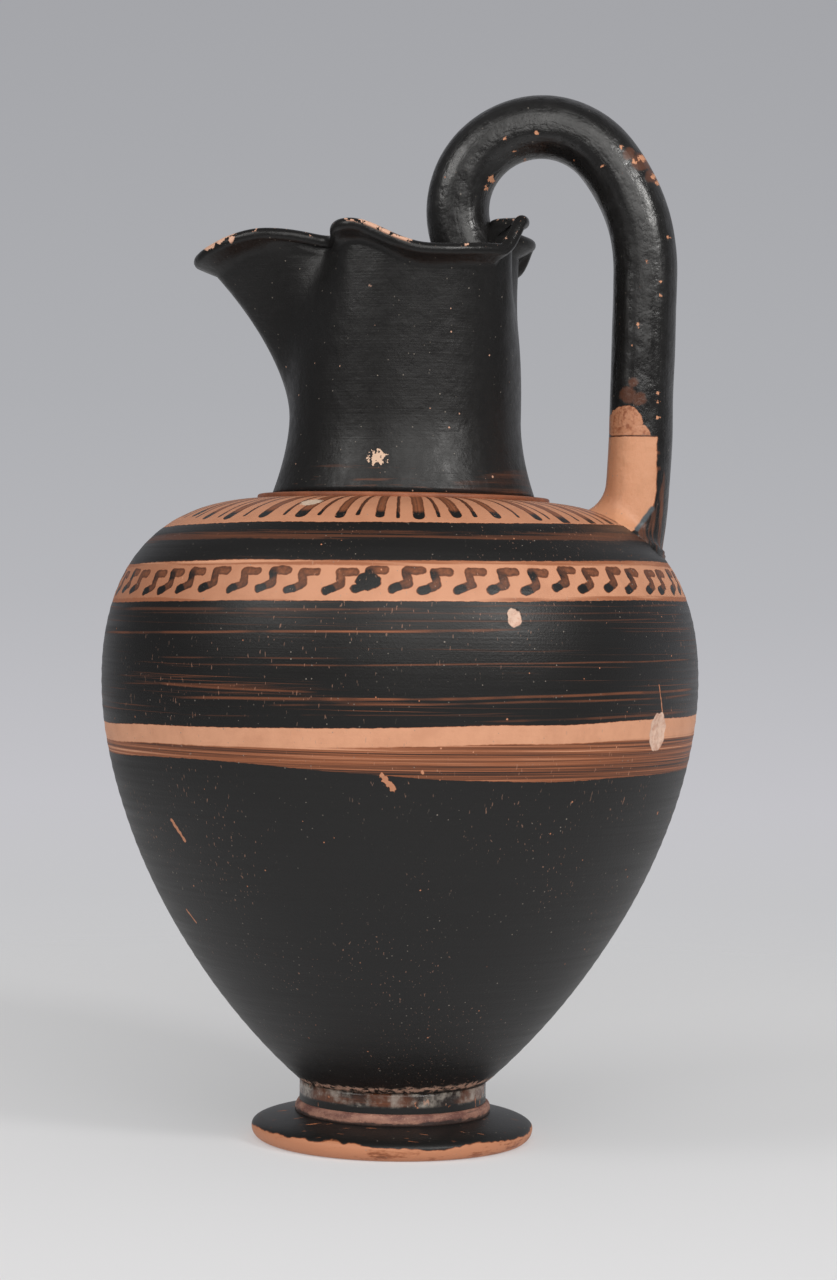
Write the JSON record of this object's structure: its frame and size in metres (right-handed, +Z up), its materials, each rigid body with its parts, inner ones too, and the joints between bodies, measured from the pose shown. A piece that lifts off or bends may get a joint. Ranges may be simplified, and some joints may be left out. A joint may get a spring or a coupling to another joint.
{
  "type": "oinochoe jug",
  "caption": "Black-slipped wine jug with a lobed pouring mouth, a high-swung rod handle, an ovoid body with painted shoulder bands and a disc foot.",
  "frame": {"origin": "on the jug's axis, in the plane of the resting ring", "axes": "+Z up along the jug's axis; the handle lies towards +X and the spout towards -X"},
  "size_m": [0.159, 0.159, 0.2789],
  "materials": {
    "black_slip": "glossy black slip, worn to orange clay at the rim",
    "handle_slip": "glossy black slip with an unpainted clay panel facing the neck",
    "body_slip": "streaky satin black slip with unpainted clay bands",
    "foot_slip": "worn satin black slip, bare orange clay at the lower edge",
    "purple_wash": "dusty matt purple-red wash"
  },
  "bodies": {
    "root": {"foot_disc": "foot_slip", "foot_fillet": "purple_wash", "body_wall": "body_slip", "neck_ring": "black_slip", "neck_and_mouth": "black_slip", "handle_rod": "handle_slip", "handle_rim_wad": "handle_slip", "handle_root_coil": "handle_slip"}
  },
  "joints": []
}
